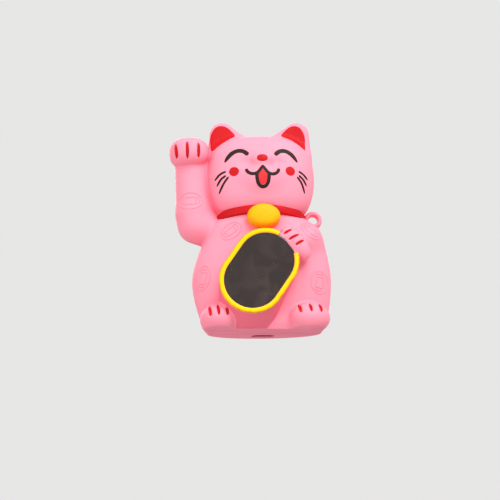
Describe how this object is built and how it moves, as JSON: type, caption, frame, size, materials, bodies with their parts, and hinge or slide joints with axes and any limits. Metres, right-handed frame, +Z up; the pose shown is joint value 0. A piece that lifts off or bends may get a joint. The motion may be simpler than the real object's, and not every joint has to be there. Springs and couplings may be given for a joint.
{
  "type": "cartridge battery figurine",
  "caption": "Beckoning cat figurine housing a rechargeable cartridge battery, with a well in its head, a smoked display window in its coin and a button behind.",
  "frame": {"origin": "middle of the base of the whole object's bounding box, on the surface that the cat stands on", "axes": "+Z up through the head, -Y out of the face, +X to the right as one faces the cat"},
  "size_m": [0.065, 0.0316, 0.0886],
  "materials": {
    "pink_shell": "soft-touch matt coating over moulded plastic, face marks, collar, coin rim and coin motifs painted",
    "smoked_window": "glossy smoked acrylic, nearly opaque",
    "black_plastic": "fine matt moulded black plastic",
    "white_plastic": "plain moulded white plastic",
    "circuit_board": "green solder mask",
    "ferrite": "pressed dark grey ferrite",
    "foam": "soft closed-cell foam",
    "cell_wrap": "shrink-wrapped blue sleeve",
    "brass": "turned brass",
    "steel": "bright plated steel",
    "red_lead": "silicone insulated wire",
    "black_lead": "silicone insulated wire",
    "red_paint": "matt red paint",
    "yellow_paint": "satin yellow paint",
    "gold_paint": "sprayed golden paint",
    "line_paint": "printed black-brown lines",
    "coral_paint": "matt coral paint"
  },
  "bodies": {
    "case": {"front_shell": "pink_shell", "back_shell": "pink_shell", "display_window": "smoked_window", "window_tape": "black_plastic", "led_display": "black_plastic", "main_board": "circuit_board", "controller_chip": "black_plastic", "power_transistor": "black_plastic", "power_inductor": "ferrite", "foam_pad": "foam", "battery_cell": "cell_wrap", "battery_cradle": "white_plastic", "cartridge_well": "black_plastic", "connector_bracket": "white_plastic", "connector_body": "brass", "connector_insulator": "white_plastic", "contact_cup": "brass", "pin_spring": "steel", "usb_port": "steel", "charge_board": "circuit_board", "tact_switch": "steel", "button_board": "circuit_board", "case_screw_1": "steel", "case_screw_2": "steel", "case_screw_3": "steel", "case_screw_4": "steel", "board_screw_1": "steel", "board_screw_2": "steel", "battery_lead_red": "red_lead", "battery_lead_black": "black_lead", "connector_lead": "red_lead", "switch_lead": "red_lead", "charge_lead": "red_lead"},
    "button": {"power_button": "black_plastic", "switch_plunger": "white_plastic"},
    "pin": {"centre_pin": "brass"}
  },
  "joints": [
    {"name": "button_press", "type": "slide", "parent": "case", "child": "button", "axis": [0, -1, 0], "range_m": [0, 0.00035], "stiffness_N_per_m": 4000},
    {"name": "pin_press", "type": "slide", "parent": "case", "child": "pin", "axis": [0, 0, -1], "range_m": [0, 0.0007], "stiffness_N_per_m": 1500, "deforming": ["pin_spring"]}
  ]
}
